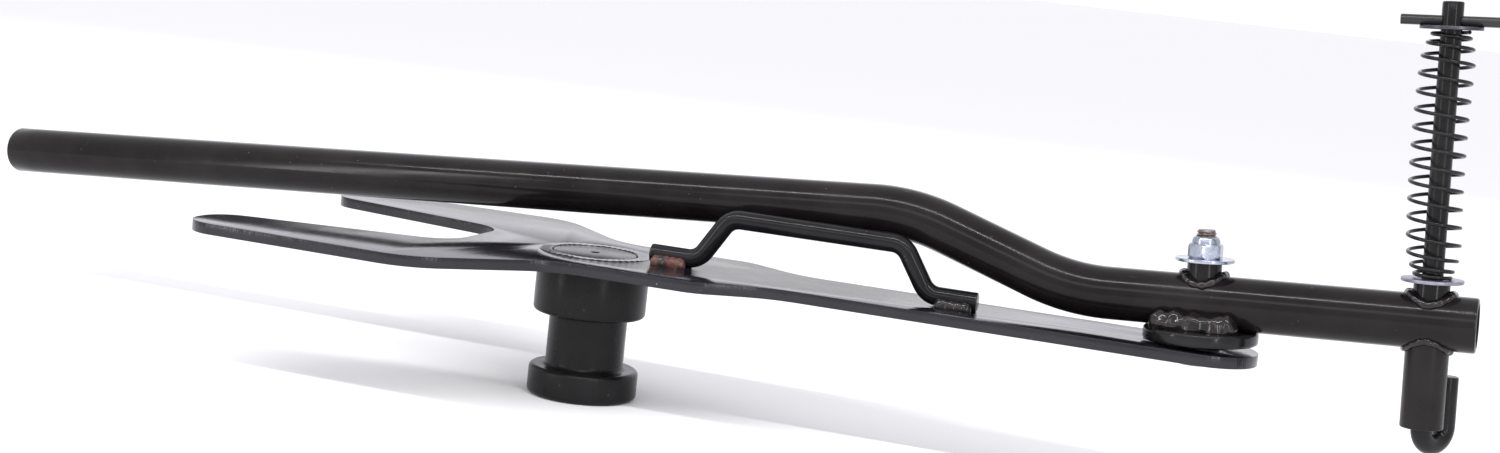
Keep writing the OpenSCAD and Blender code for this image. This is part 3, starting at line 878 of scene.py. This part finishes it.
def pitch_share(turns_done):
    # How much of the open pitch has been climbed: it ramps up over the first end turns and down at the last.
    left = coil_turns - turns_done
    if turns_done <= end_turns:
        return turns_done**2 / (2 * end_turns)
    if left <= end_turns:
        return coil_turns - end_turns - left**2 / (2 * end_turns)
    return turns_done - end_turns / 2


spring_line = []
for step in range(coil_turns * steps_per_turn + 1):
    turns_done = step / steps_per_turn
    swell = min(1, turns_done / end_turns, (coil_turns - turns_done) / end_turns)
    swell = swell * swell * (3 - 2 * swell)
    radius = coil_end_r + (coil_mid_r - coil_end_r) * swell
    climb = open_rise * pitch_share(turns_done) / pitch_share(coil_turns)
    height = wire_r + 2 * wire_r * turns_done + climb
    lean = -bow * math.sin(math.pi * height / spring_len)
    angle = -2 * math.pi * turns_done
    across = (radius * math.cos(angle) + lean, radius * math.sin(angle))
    spring_line.append(Vector((*across, spring_base + height)))
wire_profile = solid_bar(spring_line, wire_r, 0.0002)
spring = drawn_bar("hook_spring_wire", spring_line, hook_place, wire_profile, 14, 50)
spring_tone = (0.006, 0.0055, 0.006)
spring.data.materials.append(black_paint("spring_black_wire", spring_tone, 0.22, 0.1, 0.4, False, 0.25))
show(spring, "lever", "spring_black", "hook_spring")
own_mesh(spring)


# ---- Hook rod and roll pin ----
# A 12 mm bar bent back on itself at the bottom into a J, its tip cut square. It slides and turns in the bush.
# A slotted spring pin is driven through its top: it holds the washer and is the bar for the thumb.
hook_rod_r = 0.006
hook_face = math.radians(56)
hook_gap = 0.0208
tip_len = 0.029
rod_low, rod_high = span("hook_rod", hook_place)
bend_z = rod_low.z + hook_rod_r + hook_gap / 2
facing = Vector((math.cos(hook_face), math.sin(hook_face), 0))
rod_line = filled_in([Vector((0, 0, rod_high.z)), Vector((0, 0, bend_z))], 0.01)
for step in range(1, 25):
    angle = math.pi * step / 24
    along = facing * (hook_gap / 2) * (1 - math.cos(angle))
    rod_line.append(along + Vector((0, 0, bend_z - hook_gap / 2 * math.sin(angle))))
rod_line += filled_in([rod_line[-1], facing * hook_gap + Vector((0, 0, bend_z + tip_len))], 0.01)[1:]
hook_rod = drawn_bar("hook_rod_bent", rod_line, hook_place, solid_bar(rod_line, hook_rod_r, 0.0009), 56)
rod_tone = (0.006, 0.0055, 0.006)
hook_rod.data.materials.append(black_paint("rod_satin_black", rod_tone, 0.2, 0.08, 0.3, False, 0.2))
show(hook_rod, "hook", "rod_black", "hook_rod")

roll_pin = eased_copy("roll_pin_slotted", "roll_pin", 0.0002)
roll_pin_tone = (0.016, 0.015, 0.016)
roll_pin.data.materials.append(black_paint("roll_pin_black", roll_pin_tone, 0.28, 0.08, 0.2, False, 0.35))
show(roll_pin, "hook", "roll_pin_black", "roll_pin")
